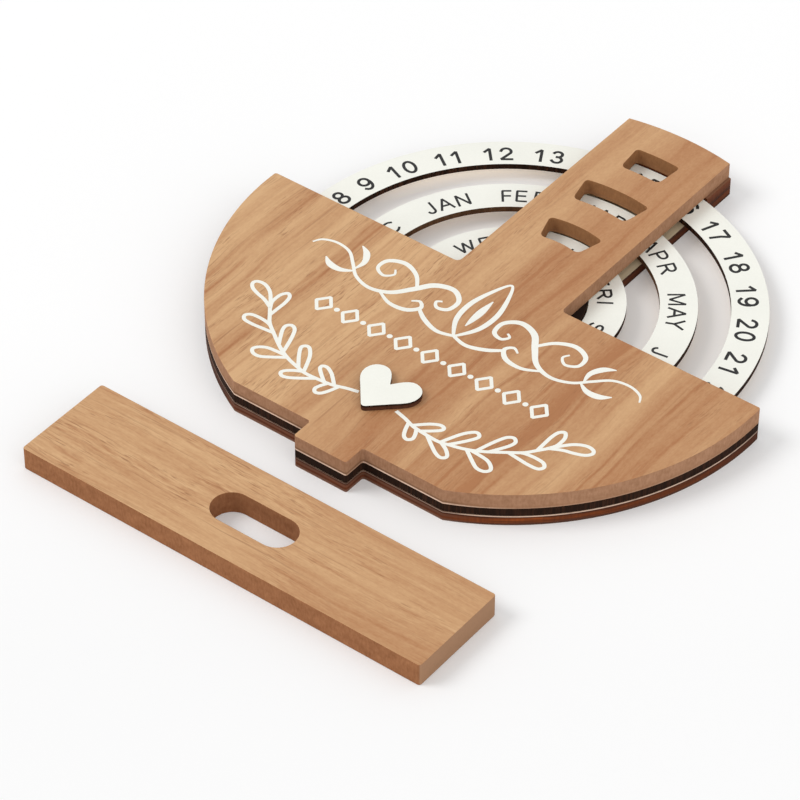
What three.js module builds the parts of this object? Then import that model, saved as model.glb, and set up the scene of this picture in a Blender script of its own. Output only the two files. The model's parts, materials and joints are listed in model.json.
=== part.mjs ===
// Perpetual desk calendar, lying on its back with its stand base beside it.
//
// The calendar board is a sandwich of laser-cut sheets: a thick veneered front
// panel with three reading windows, a thinner back panel whose stem is a little
// wider, and a layer of spacers between them. Three flat rings for the date, the
// month and the weekday turn in that layer, one inside the other, guided by the
// spacers. A heart is glued to the front. The tab at the foot of the board plugs
// into the slot of the stand base.
//
// Millimetres, +Z out of the calendar's face, +Y up the board, +X to the viewer's
// right. The origin is the rings' common centre on the rear face of the back panel.

import * as THREE from 'three';

// Sheets that the pieces are cut from
const sheet = {
  front: 6,
  spacer: 3,
  back: 4,
  ring: 2.2,
  base: 8.6,
};

// Room left between pieces that move past or plug into each other
const clearance = {
  ringEdge: 0.5,
  ringFace: 0.15,
  slotSide: 0.4,
  slotEnd: 0.95,
};

// Dial rings, one outside the other round the hub
const rings = {
  hubRadius: 25.1,
  width: 12.8,
  gap: 11,
};

// Reading windows over the three rings, each as wide as stated along its outer edge
const windows = {
  offset: 0.7,
  cornerRadius: 1.7,
  footCornerRadius: 2.4,
  date: { width: 17.9, height: 11.6 },
  month: { width: 26.2, height: 11.6 },
  weekday: { width: 21.6, height: 10.9 },
};

// Outline of the board
const board = {
  rimWidth: 13.5,
  rimWidthAtFoot: 8.2,
  arcCentreDrop: 4.1,
  chordDrop: 1.5,
  stemWidth: 42.4,
  backStemWidth: 44.4,
  stemEndWidth: 14.2,
  stemFillet: 2.2,
  tabWidth: 21.2,
  tabFillet: 1.2,
  cornerRadius: 1,
};

const heart = {
  width: 22.8,
  offCentre: 0.1,
  aboveFoot: 24.7,
  tiltDegrees: -4,
};

// The stand base lies in front of the board's tab
const base = {
  length: 159.2,
  width: 38.7,
  cornerRadius: 1.2,
  offCentre: 1.2,
  fromTab: 15.05,
};

// How finely curves are drawn
const drawing = {
  arcSag: 0.02,
  cornerSteps: 6,
  samePoint: 0.001,
};

// Colours of the bare materials
const finish = {
  veneer: { color: 0xc8966a, roughness: 0.6, metalness: 0 },
  backBoard: { color: 0x6b3a24, roughness: 0.75, metalness: 0 },
  spacerBoard: { color: 0x241812, roughness: 0.85, metalness: 0 },
  whiteFace: { color: 0xf2f1e8, roughness: 0.45, metalness: 0 },
};

// Levels and radii that follow from the driving dimensions
const level = {
  spacer: sheet.back,
  ring: sheet.back + clearance.ringFace,
  front: sheet.back + sheet.spacer,
  face: sheet.back + sheet.spacer + sheet.front,
};

const ringPitch = rings.width + rings.gap;
const weekdayRing = ringRadii(0);
const monthRing = ringRadii(1);
const dateRing = ringRadii(2);

const rimInner = dateRing.outer + clearance.ringEdge;
const boardRadius = rimInner + board.rimWidth;
const footY = -(rimInner + board.rimWidthAtFoot);
const tabEndY = footY - sheet.base;
const tabHalf = board.tabWidth / 2;
const stemEndRadius = rimInner + board.stemEndWidth;

function ringRadii(place) {
  const inner = rings.hubRadius + clearance.ringEdge + place * ringPitch;
  return { inner, outer: inner + rings.width };
}

// Steps along a curve: a circle's facets stray from it by no more than the stated sag
function steps(curve) {
  if (curve.isLineCurve) return 1;
  if (!curve.isEllipseCurve) return drawing.cornerSteps;
  const sweep = Math.abs(curve.aEndAngle - curve.aStartAngle);
  return Math.ceil(sweep / (2 * Math.acos(1 - drawing.arcSag / curve.xRadius)));
}

// The corners of an outline, without the repeats where one curve meets the next
function cornersOf(path) {
  const points = path.curves.flatMap((curve) => curve.getPoints(steps(curve)));
  const next = (index) => points[(index + 1) % points.length];
  return points.filter((each, index) => each.distanceTo(next(index)) > drawing.samePoint);
}

// Cuts an outline out of a sheet that lies on the level z
function cutSheet(name, outline, thickness, z, look) {
  const cut = new THREE.Shape(cornersOf(outline));
  cut.holes = outline.holes.map((hole) => new THREE.Path(cornersOf(hole)));
  const geometry = new THREE.ExtrudeGeometry(cut, { depth: thickness, bevelEnabled: false });
  const mesh = new THREE.Mesh(geometry, new THREE.MeshStandardMaterial(look));
  mesh.name = name;
  mesh.position.z = z;
  return mesh;
}

// Runs to a corner and rounds it off, leaving it towards the point after
function roundCorner(path, corner, after, radius) {
  const from = path.currentPoint.clone();
  const start = corner.clone().add(from.sub(corner).setLength(radius));
  const end = corner.clone().add(after.clone().sub(corner).setLength(radius));
  path.lineTo(start.x, start.y);
  path.quadraticCurveTo(corner.x, corner.y, end.x, end.y);
}

const point = (x, y) => new THREE.Vector2(x, y);
const polar = (radius, angle) => point(radius * Math.cos(angle), radius * Math.sin(angle));
const lineTo = (path, end) => path.lineTo(end.x, end.y);
const curveTo = (path, corner, end) => path.quadraticCurveTo(corner.x, corner.y, end.x, end.y);

// Angle at which a circle about the ring centre meets a horizontal line, on the right
const angleAtHeight = (radius, y) => Math.asin(y / radius);

// The lower part of the board from its right chord corner round the foot to the left
// one. Both side arcs share one centre, a little below the ring centre.
function drawLowerEdge(path) {
  const centreY = -board.arcCentreDrop;
  const atChord = angleAtHeight(boardRadius, -board.chordDrop - centreY);
  const atFoot = angleAtHeight(boardRadius, footY - centreY);
  const rounding = board.cornerRadius / boardRadius;
  const chordCorner = pointOnBoardArc(atChord);
  const footCorner = pointOnBoardArc(atFoot);

  const arcStart = pointOnBoardArc(atChord - rounding);
  path.lineTo(chordCorner.x - board.cornerRadius, chordCorner.y);
  path.quadraticCurveTo(chordCorner.x, chordCorner.y, arcStart.x, arcStart.y);
  path.absarc(0, centreY, boardRadius, atChord - rounding, atFoot, true);
  roundCorner(path, point(tabHalf, footY), point(tabHalf, tabEndY), board.tabFillet);
  roundCorner(path, point(tabHalf, tabEndY), point(-tabHalf, tabEndY), board.cornerRadius);
  roundCorner(path, point(-tabHalf, tabEndY), point(-tabHalf, footY), board.cornerRadius);
  roundCorner(path, point(-tabHalf, footY), point(-footCorner.x, footY), board.tabFillet);
  path.lineTo(-footCorner.x, footY);
  path.absarc(0, centreY, boardRadius, Math.PI - atFoot, Math.PI - atChord + rounding, true);
  path.quadraticCurveTo(-chordCorner.x, chordCorner.y, board.cornerRadius - chordCorner.x, chordCorner.y);
}

function pointOnBoardArc(angle) {
  const x = boardRadius * Math.cos(angle);
  const y = boardRadius * Math.sin(angle) - board.arcCentreDrop;
  return point(x, y);
}

// The whole outline of a panel, whose stem is as wide as stated
function boardOutline(stemWidth) {
  const outline = new THREE.Shape();
  const stemHalf = stemWidth / 2;
  const chordY = -board.chordDrop;
  const stemTop = Math.sqrt(stemEndRadius ** 2 - stemHalf ** 2);
  const rightEnd = Math.acos(stemHalf / stemEndRadius);

  outline.moveTo(stemHalf, stemTop);
  roundCorner(outline, point(stemHalf, chordY), point(boardRadius, chordY), board.stemFillet);
  drawLowerEdge(outline);
  roundCorner(outline, point(-stemHalf, chordY), point(-stemHalf, stemTop), board.stemFillet);
  outline.lineTo(-stemHalf, stemTop);
  outline.absarc(0, 0, stemEndRadius, Math.PI - rightEnd, rightEnd, true);
  return outline;
}

// A window is a sector of the ring under it, with straight radial sides and with
// rounder corners at its foot than at its top
function windowOutline(ring, size) {
  const middle = (ring.outer + ring.inner) / 2 + windows.offset;
  const outer = middle + size.height / 2;
  const inner = middle - size.height / 2;
  const half = Math.asin(size.width / 2 / outer);
  const left = Math.PI / 2 + half;
  const right = Math.PI / 2 - half;
  const top = windows.cornerRadius;
  const foot = windows.footCornerRadius;
  const outerTurn = top / outer;
  const innerTurn = foot / inner;

  const hole = new THREE.Path();
  hole.absarc(0, 0, outer, right + outerTurn, left - outerTurn, false);
  curveTo(hole, polar(outer, left), polar(outer - top, left));
  lineTo(hole, polar(inner + foot, left));
  curveTo(hole, polar(inner, left), polar(inner, left - innerTurn));
  hole.absarc(0, 0, inner, left - innerTurn, right + innerTurn, true);
  curveTo(hole, polar(inner, right), polar(inner + foot, right));
  lineTo(hole, polar(outer - top, right));
  curveTo(hole, polar(outer, right), polar(outer, right + outerTurn));
  return hole;
}

function makeFrontPanel() {
  const outline = boardOutline(board.stemWidth);
  outline.holes.push(windowOutline(dateRing, windows.date));
  outline.holes.push(windowOutline(monthRing, windows.month));
  outline.holes.push(windowOutline(weekdayRing, windows.weekday));
  return cutSheet('front_panel', outline, sheet.front, level.front, finish.veneer);
}

function makeBackPanel() {
  const outline = boardOutline(board.backStemWidth);
  return cutSheet('back_panel', outline, sheet.back, 0, finish.backBoard);
}

// The spacer under the board's rim, open above and hollow for the date ring
function makeRimSpacer() {
  const outline = new THREE.Shape();
  const chordY = -board.chordDrop;
  const end = angleAtHeight(rimInner, chordY);
  outline.moveTo(rimInner * Math.cos(end), chordY);
  drawLowerEdge(outline);
  outline.lineTo(-rimInner * Math.cos(end), chordY);
  outline.absarc(0, 0, rimInner, Math.PI - end, 2 * Math.PI + end, false);
  return cutSheet('rim_spacer', outline, sheet.spacer, level.spacer, finish.spacerBoard);
}

// A half ring of spacer between two dial rings, cut off level with the board's chord
function makeGuideSpacer(name, outsideRing, insideRing) {
  const outline = new THREE.Shape();
  const outer = outsideRing.inner - clearance.ringEdge;
  const inner = insideRing.outer + clearance.ringEdge;
  const chordY = -board.chordDrop;
  const outerEnd = angleAtHeight(outer, chordY);
  const innerEnd = angleAtHeight(inner, chordY);
  outline.absarc(0, 0, outer, outerEnd, -Math.PI - outerEnd, true);
  outline.absarc(0, 0, inner, Math.PI - innerEnd, 2 * Math.PI + innerEnd, false);
  return cutSheet(name, outline, sheet.spacer, level.spacer, finish.spacerBoard);
}

// The disc that the weekday ring turns round
function makeHubSpacer() {
  const outline = new THREE.Shape();
  outline.absarc(0, 0, rings.hubRadius, 0, 2 * Math.PI, false);
  return cutSheet('hub_spacer', outline, sheet.spacer, level.spacer, finish.spacerBoard);
}

// The spacer at the end of the stem, beyond the date ring and flush with the back
function makeStemEndSpacer() {
  const outline = new THREE.Shape();
  const stemHalf = board.backStemWidth / 2;
  const outerEnd = Math.acos(stemHalf / stemEndRadius);
  const innerEnd = Math.acos(stemHalf / rimInner);
  outline.absarc(0, 0, stemEndRadius, outerEnd, Math.PI - outerEnd, false);
  outline.absarc(0, 0, rimInner, Math.PI - innerEnd, innerEnd, true);
  return cutSheet('stem_end_spacer', outline, sheet.spacer, level.spacer, finish.spacerBoard);
}

function makeRing(name, ring) {
  const outline = new THREE.Shape();
  outline.absarc(0, 0, ring.outer, 0, 2 * Math.PI, false);
  const bore = new THREE.Path();
  bore.absarc(0, 0, ring.inner, 0, 2 * Math.PI, true);
  outline.holes.push(bore);
  return cutSheet(name, outline, sheet.ring, level.ring, finish.whiteFace);
}

// The heart's right half as shares of its width, from the notch over the lobe to the
// side and down to the blunt tip. Each curve is two handles and an end.
const heartNotchShare = 0.13;
const heartTipShares = [0.05, -0.44];
const heartCurveShares = [
  [0.075, 0.24, 0.155, 0.385, 0.28, 0.385],
  [0.41, 0.385, 0.5, 0.29, 0.5, 0.16],
  [0.5, 0.015, 0.4, -0.065, 0.3, -0.17],
];

function makeHeart() {
  const outline = new THREE.Shape();
  const size = heart.width;
  const [tipX, tipY] = heartTipShares;
  outline.moveTo(0, heartNotchShare * size);
  for (const curve of heartCurveShares) {
    outline.bezierCurveTo(...curve.map((share) => share * size));
  }
  outline.lineTo(tipX * size, tipY * size);
  outline.quadraticCurveTo(0, (tipY - tipX) * size, -tipX * size, tipY * size);
  drawMirrored(outline, heartCurveShares, size);
  const mesh = cutSheet('heart', outline, sheet.ring, level.face, finish.whiteFace);
  mesh.position.x = heart.offCentre;
  mesh.position.y = footY + heart.aboveFoot;
  mesh.rotation.z = THREE.MathUtils.degToRad(heart.tiltDegrees);
  return mesh;
}

// Runs back up the left side along the same curves, mirrored and reversed
function drawMirrored(outline, curves, size) {
  const last = curves[curves.length - 1];
  outline.lineTo(-last[4] * size, last[5] * size);
  for (let index = curves.length - 1; index >= 0; index -= 1) {
    const [firstX, firstY, secondX, secondY] = curves[index];
    const [endX, endY] = index > 0 ? curves[index - 1].slice(4) : [0, heartNotchShare];
    const handles = [-secondX, secondY, -firstX, firstY, -endX, endY];
    outline.bezierCurveTo(...handles.map((share) => share * size));
  }
}

// The slot is a round-ended hole that clears the board's tab on every side
function slotOutline() {
  const boardThickness = level.face;
  const radius = boardThickness / 2 + clearance.slotSide;
  const roundEnd = Math.sqrt(radius ** 2 - (boardThickness / 2) ** 2);
  const straightHalf = tabHalf + clearance.slotEnd - roundEnd;
  const slot = new THREE.Path();
  slot.absarc(straightHalf, 0, radius, Math.PI / 2, -Math.PI / 2, true);
  slot.absarc(-straightHalf, 0, radius, -Math.PI / 2, -1.5 * Math.PI, true);
  return slot;
}

function makeStandBase() {
  const outline = new THREE.Shape();
  const x = base.length / 2;
  const y = base.width / 2;
  outline.moveTo(0, -y);
  roundCorner(outline, point(x, -y), point(x, y), base.cornerRadius);
  roundCorner(outline, point(x, y), point(-x, y), base.cornerRadius);
  roundCorner(outline, point(-x, y), point(-x, -y), base.cornerRadius);
  roundCorner(outline, point(-x, -y), point(x, -y), base.cornerRadius);
  outline.holes.push(slotOutline());
  const mesh = cutSheet('stand_base', outline, sheet.base, 0, finish.veneer);
  mesh.position.x = base.offCentre;
  mesh.position.y = tabEndY - base.fromTab - base.width / 2;
  return mesh;
}

const calendar = new THREE.Group();
calendar.add(makeBackPanel());
calendar.add(makeRimSpacer());
calendar.add(makeGuideSpacer('outer_guide_spacer', dateRing, monthRing));
calendar.add(makeGuideSpacer('inner_guide_spacer', monthRing, weekdayRing));
calendar.add(makeHubSpacer());
calendar.add(makeStemEndSpacer());
calendar.add(makeRing('date_ring', dateRing));
calendar.add(makeRing('month_ring', monthRing));
calendar.add(makeRing('weekday_ring', weekdayRing));
calendar.add(makeFrontPanel());
calendar.add(makeHeart());
calendar.add(makeStandBase());

export default calendar;
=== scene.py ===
"""Looks of a desk calendar: a veneered half disc with a stem, three turning dials and a stand base."""

import json
import math
from functools import reduce

import bmesh
import bpy
from mathutils import Matrix, Vector


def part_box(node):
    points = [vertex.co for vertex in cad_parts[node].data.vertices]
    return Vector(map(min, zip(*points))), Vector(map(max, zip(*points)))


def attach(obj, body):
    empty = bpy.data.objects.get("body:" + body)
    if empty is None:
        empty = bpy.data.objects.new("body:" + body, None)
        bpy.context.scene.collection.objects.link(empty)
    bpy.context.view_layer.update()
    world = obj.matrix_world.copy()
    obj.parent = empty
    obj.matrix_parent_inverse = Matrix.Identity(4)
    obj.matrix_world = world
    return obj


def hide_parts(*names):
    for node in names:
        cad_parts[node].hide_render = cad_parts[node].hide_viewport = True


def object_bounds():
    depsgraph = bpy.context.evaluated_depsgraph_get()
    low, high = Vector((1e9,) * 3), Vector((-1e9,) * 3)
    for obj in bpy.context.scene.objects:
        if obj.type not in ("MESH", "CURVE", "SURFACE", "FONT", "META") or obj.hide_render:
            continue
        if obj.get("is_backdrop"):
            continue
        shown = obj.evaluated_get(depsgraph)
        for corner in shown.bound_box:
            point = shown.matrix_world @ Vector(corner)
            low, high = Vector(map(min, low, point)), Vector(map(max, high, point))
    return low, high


bl_info = {
    "name": "Perpetual Desk Calendar",
    "version": (1, 0, 0),
    "blender": (4, 5, 0),
    "location": "3D View > Sidebar > Calendar",
    "description": "Finishes, lettering and painted ornament for a wooden desk calendar",
    "category": "Add Mesh",
}

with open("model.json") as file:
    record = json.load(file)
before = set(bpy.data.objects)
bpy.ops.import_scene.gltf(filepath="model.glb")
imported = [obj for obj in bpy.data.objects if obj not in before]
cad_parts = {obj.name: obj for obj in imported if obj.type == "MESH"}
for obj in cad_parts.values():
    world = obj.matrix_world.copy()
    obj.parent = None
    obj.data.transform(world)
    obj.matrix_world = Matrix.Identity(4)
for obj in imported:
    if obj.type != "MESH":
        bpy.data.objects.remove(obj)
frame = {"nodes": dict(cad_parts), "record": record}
cad_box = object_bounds()

MM = 0.001

# Faces that are painted on, and two levels in millimetres that the finishes go by
FACE_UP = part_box("front_panel")[1].z
DIAL_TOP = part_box("date_ring")[1].z
PANEL_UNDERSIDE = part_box("front_panel")[0].z / MM
BACK_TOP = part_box("back_panel")[1].z / MM

DATE_NUMBERS = [str(day) for day in range(1, 32)]
MONTHS = "JAN FEB MAR APR MAY JUN JUL AUG SEP OCT NOV DEC".split()
WEEKDAYS = "SUN MON TUE WED THU FRI SAT".split()


def linear(red, green, blue):
    """A colour written as 0 to 255 screen values, turned into the linear values that shaders take."""
    shares = [channel / 255 for channel in (red, green, blue)]
    return tuple(s / 12.92 if s <= 0.04045 else ((s + 0.055) / 1.055) ** 2.4 for s in shares)


# Strokes of the dial lettering, and the most that a bow turns from one point to the next
ARC_STEP = math.radians(18)


def bow(centre_x, centre_y, radius_x, radius_y, first, last):
    """Points of an oval bow from one angle to another, in degrees, anticlockwise when the angles rise."""
    start, sweep = math.radians(first), math.radians(last - first)
    count = max(3, math.ceil(abs(sweep) / ARC_STEP))
    angles = [start + sweep * k / count for k in range(count + 1)]
    return [(centre_x + radius_x * math.cos(a), centre_y + radius_y * math.sin(a)) for a in angles]


def oval(centre_x, centre_y, radius_x, radius_y):
    """A whole oval, as a closed stroke."""
    return bow(centre_x, centre_y, radius_x, radius_y, 0, 360)[:-1]


def bowl(left, right, foot, head):
    """The bowl of a B, D, P or R: out along the head, round, and back along the foot."""
    middle, half = (foot + head) / 2, (head - foot) / 2
    turn = min(half, right - left)
    return [(left, head)] + bow(right - turn, middle, turn, half, 90, -90) + [(left, foot)]


# Each letter has its width and its open and closed strokes, all in hundredths of its height
LETTERS = {
    "0": (62, [], [oval(31, 50, 31, 50)]),
    "1": (62, [[(12, 74), (40, 100), (40, 0)]], []),
    "2": (62, [bow(27, 71, 29, 29, 168, -30) + [(-2, 0), (58, 0)]], []),
    "3": (58, [bow(28, 76, 25, 24, 155, -90), bow(28, 26.5, 29, 26.5, 90, -155)], []),
    "4": (64, [[(47, 0), (47, 100), (0, 28), (64, 28)]], []),
    "5": (62, [[(57, 100), (14, 100)] + bow(30, 33, 31, 33, 142, -155)], []),
    "6": (62, [bow(34, 50, 34, 50, 48, 186)], [oval(32, 31, 30, 31)]),
    "7": (60, [[(0, 100), (60, 100), (36, 56), (22, 0)]], []),
    "8": (62, [], [oval(31, 76, 25, 24), oval(31, 26.5, 31, 26.5)]),
    "9": (62, [bow(28, 50, 34, 50, 6, -132)], [oval(30, 69, 30, 31)]),
    "A": (76, [[(0, 0), (38, 102), (76, 0)], [(14, 34), (62, 34)]], []),
    "B": (56, [[(0, 0), (0, 100)], bowl(0, 52, 53, 100), bowl(0, 56, 0, 53)], []),
    "C": (84, [bow(46, 50, 46, 50, 46, 314)], []),
    "D": (68, [[(0, 0), (0, 100)], bowl(0, 68, 0, 100)], []),
    "E": (52, [[(50, 100), (0, 100), (0, 0), (52, 0)], [(0, 52), (45, 52)]], []),
    "F": (44, [[(44, 100), (0, 100), (0, 0)], [(0, 50), (40, 50)]], []),
    "G": (92, [bow(47, 50, 47, 50, 46, 322) + [(90, 46), (54, 46)]], []),
    "H": (66, [[(0, 0), (0, 100)], [(66, 0), (66, 100)], [(0, 52), (66, 52)]], []),
    "I": (0, [[(0, 0), (0, 100)]], []),
    "J": (40, [[(40, 100)] + bow(20, 22, 20, 22, 0, -165)], []),
    "L": (48, [[(0, 100), (0, 0), (48, 0)]], []),
    "M": (82, [[(0, 0), (0, 100), (41, 4), (82, 100), (82, 0)]], []),
    "N": (66, [[(0, 0), (0, 100), (66, 0), (66, 100)]], []),
    "O": (96, [], [oval(48, 50, 48, 50)]),
    "P": (60, [[(0, 0), (0, 100)], bowl(0, 60, 46, 100)], []),
    "R": (66, [[(0, 0), (0, 100)], bowl(0, 60, 48, 100), [(34, 48), (66, 0)]], []),
    "S": (58, [bow(29, 76, 26, 24, 36, 270) + bow(29, 26, 29, 26, 90, -146)], []),
    "T": (64, [[(0, 100), (64, 100)], [(32, 100), (32, 0)]], []),
    "U": (64, [[(0, 100)] + bow(32, 32, 32, 32, 180, 360) + [(64, 100)]], []),
    "V": (72, [[(0, 100), (36, -2), (72, 100)]], []),
    "W": (105, [[(0, 100), (26, -2), (52.5, 102), (79, -2), (105, 100)]], []),
    "Y": (68, [[(0, 100), (34, 46), (68, 100)], [(34, 46), (34, 0)]], []),
}

# Letters whose left or right side stands upright, which asks for more room beside it
UPRIGHT_LEFT = "BDEFHILMNPRU"
UPRIGHT_RIGHT = "EHIJMNPU"

# A stroke that turns by more has its corner cut flat; the cosine keeps its inside from reaching too far
SHARP_TURN = math.radians(50)
LEAST_COSINE = 0.3
# Strokes that cross lie on layers of their own, which repeat after this many
LAYERS = 16
LAYER_STEP = 0.002 * MM
# How deep paint and ink reach into the face below them, and how wide a dot's stroke is for its radius
SUNK = 0.02 * MM
DOT_FILL = 1.96
# Points of a stroke that lie closer, in metres, become one
STROKE_WELD = 1e-8


def sides_of_stroke(points, widths, closed):
    """Left and right edges of a stroke along points; a sharp corner is cut flat on its outside."""
    left, right = [], []
    places = [Vector(point) for point in points]
    ways = [(after - place).normalized() for place, after in zip(places, places[1:] + places[:1])]
    for k, (place, width) in enumerate(zip(places, widths)):
        into = ways[k - 1] if closed or k else ways[0]
        onward = ways[k] if closed or k < len(places) - 1 else into
        turn = into.angle_signed(onward, 0)
        middle = (into + onward).normalized()
        inner = [Vector((-middle.y, middle.x)) * (width / 2) / max(math.cos(turn / 2), LEAST_COSINE)]
        outer = inner
        if abs(turn) >= SHARP_TURN:
            inner, outer = inner * 2, [Vector((-way.y, way.x)) * (width / 2) for way in (into, onward)]
        left += [place + shift for shift in (outer if turn > 0 else inner)]
        right += [place - shift for shift in (inner if turn > 0 else outer)]
    return left, right


def add_stroke(mesh, left, right, closed, low, high, put):
    """Adds a thin raised band that rises by a layer from end to end; put turns flat places into the frame."""
    rows = []
    for k, (a, b) in enumerate(zip(left, right)):
        top = high + LAYER_STEP * k / len(left)
        corners = [put(*a, top), put(*b, top), put(*b, low), put(*a, low)]
        rows.append([mesh.verts.new(corner) for corner in corners])
    pairs = list(zip(rows, rows[1:]))
    if closed:
        pairs.append((rows[-1], rows[0]))
    else:
        mesh.faces.new(rows[0])
        mesh.faces.new(reversed(rows[-1]))
    for one, two in pairs:
        for k in range(4):
            mesh.faces.new((one[k - 1], one[k], two[k], two[k - 1]))


def flat(x, y, z):
    """Leaves a place as it is."""
    return Vector((x, y, z))


def raised_mesh(name, strokes, low, high):
    """A mesh object of strokes (points, widths, closed and perhaps put), each a little above the last."""
    mesh = bmesh.new()
    for k, (points, widths, closed, *put) in enumerate(strokes):
        left, right = sides_of_stroke(points, widths, closed)
        add_stroke(mesh, left, right, closed, low, high + LAYER_STEP * (k % LAYERS), *(put or [flat]))
    bmesh.ops.remove_doubles(mesh, verts=mesh.verts, dist=STROKE_WELD)
    bmesh.ops.dissolve_degenerate(mesh, edges=mesh.edges, dist=STROKE_WELD)
    bmesh.ops.recalc_face_normals(mesh, faces=mesh.faces)
    return object_from(mesh, name)


def object_from(mesh, name):
    """Turns a bmesh into an object in the scene."""
    data = bpy.data.meshes.new(name)
    mesh.to_mesh(data)
    mesh.free()
    piece = bpy.data.objects.new(name, data)
    bpy.context.scene.collection.objects.link(piece)
    return piece


def finish_piece(piece, body, slot, materials):
    """Gives a piece its materials and its body; the slot is not used."""
    for material in materials:
        piece.data.materials.append(material)
    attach(piece, body)


def letter_boxes(text, height, stroke, stretch):
    """Width of each letter of a word, ink included."""
    return [LETTERS[letter][0] / 100 * (height - stroke) * stretch + stroke for letter in text]


def letter_gaps(text, gap, room, closing):
    """Spaces after letters: more beside upright sides, less between two ones and none after the last."""
    spaces = []
    for a, b in zip(text, text[1:]):
        spaces.append(gap + room * ((a in UPRIGHT_RIGHT) + (b in UPRIGHT_LEFT)) - closing * (a + b == "11"))
    return spaces + [0]


def even_angles(widths, radius, anchor, angle, seam):
    """Middles of words set clockwise round a circle with equal gaps, but for a seam before the first."""
    gap = (2 * math.pi * radius - sum(widths) - seam) / len(widths)
    middles = [sum(widths[:k]) + k * gap + width / 2 for k, width in enumerate(widths)]
    return [angle - (middle - middles[anchor]) / radius for middle in middles]


def letter_strokes(text, height, stroke, gaps, stretch, foot_radius, middle_angle):
    """Strokes of one word that stands on a circle with its head outward, read clockwise."""
    unit = (height - stroke) / 100
    boxes = letter_boxes(text, height, stroke, stretch)
    along = -(sum(boxes) + sum(gaps)) / 2
    strokes = []
    for letter, box, gap in zip(text, boxes, gaps):
        angle = middle_angle - (along + box / 2) / (foot_radius + height / 2)
        outward = Vector((math.cos(angle), math.sin(angle)))

        def put(x, y, z, outward=outward):
            place = outward * (foot_radius + y) + Vector((outward.y, -outward.x)) * x
            return Vector((place.x, place.y, z))

        for closed, lines in enumerate(LETTERS[letter][1:]):
            for line in lines:
                points = [((stroke - box) / 2 + x * unit * stretch, stroke / 2 + y * unit) for x, y in line]
                points = points if closed else with_square_ends(points, stroke / 2)
                strokes.append((points, [stroke] * len(points), closed, put))
        along += box + gap
    return strokes


def with_square_ends(points, reach):
    """Lengthens both ends of an open stroke by half its width."""
    first, second, earlier, last = (Vector(points[k]) for k in (0, 1, -2, -1))
    head = first + (first - second).normalized() * reach
    tail = last + (last - earlier).normalized() * reach
    return [tuple(head), *points[1:-1], tuple(tail)]


# Points of a smooth line from one given point to the next, and its least width in millimetres
STEPS = 7
THINNEST = 0.2


def between(p, q, r, s, t):
    """A value on the smooth curve from q to r, at the share t of the way, with p before them and s after."""
    bend, twist = 2 * p - 5 * q + 4 * r - s, 3 * q - p - 3 * r + s
    return 0.5 * (2 * q + (r - p) * t + bend * t ** 2 + twist * t ** 3)


def smooth_path(points):
    """A smooth line through points of (x, y, width), in millimetres, as metres."""
    ends = [points[0], *points, points[-1]]
    path = [
        [between(*four, k / STEPS) for four in zip(*place)]
        for place in zip(ends, ends[1:], ends[2:], ends[3:]) for k in range(STEPS)
    ]
    path.append(points[-1])
    return [(x * MM, y * MM) for x, y, _ in path], [max(w, THINNEST) * MM for _, _, w in path]


# Painted ornament, in millimetres on the front panel: distance from its middle line, y and the stroke's width

SPRIG_STEM = [
    (7.6, -74.2), (12, -75.3), (16.6, -76.8), (22, -77.4), (27, -77.6), (31, -76.7), (35, -75.6),
    (38.6, -74.1), (42.4, -71.9), (47.8, -68.1), (51.8, -65.1), (54.6, -61.6), (57.4, -58),
]
SPRIG_LEAVES = [
    [(57, -58.4), (60.7, -53.7), (63.4, -51.5), (66.2, -50.5), (68.6, -51), (69.2, -52.6), (67.6, -54.5),
     (64.4, -55.8), (60.8, -56.8), (56.6, -58.9)],
    [(56.4, -59.2), (57.9, -56.5), (58.2, -54), (57.9, -51.4), (56.5, -49.6), (54.9, -50.8), (54.3, -53.8),
     (54.3, -57.2), (54.4, -61.8)],
    [(50.6, -66), (52.8, -65.3), (56.2, -65), (59.4, -65.4), (60.8, -67), (59.6, -68.7), (56.2, -69),
     (52.6, -68.7), (47.8, -68.2)],
    [(42.6, -71.8), (44.4, -68.8), (46.3, -65.2), (46.7, -62.9), (45.2, -61.6), (43.3, -62.6),
     (41.9, -65.3), (40.6, -69), (39.2, -73.8)],
    [(37.8, -74.6), (41.4, -74.8), (44.8, -75.3), (47.3, -76.9), (48.1, -78.6), (46.7, -80.1),
     (44.2, -80.2), (41.5, -78.7), (36.6, -75.2)],
    [(30.4, -76.8), (33, -73.4), (35.3, -69.9), (36, -67.9), (34.7, -66.7), (33, -67.5), (30.6, -70.8),
     (27.8, -77.3)],
    [(28.2, -77.5), (31, -79), (33.1, -80.9), (33.4, -82.3), (32, -83.2), (29.7, -82.5), (26.5, -80.4),
     (22.6, -77.5)],
    [(19.6, -77.1), (22.4, -74.9), (24.6, -72.8), (24.7, -71.4), (23, -71), (20.4, -72.3), (18.2, -74.2),
     (15.8, -76.6)],
    [(18, -77.1), (19.3, -79.5), (19.8, -81.6), (18.6, -82.9), (16.9, -82.2), (15.5, -79.8),
     (14.2, -76.2)],
]
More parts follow.
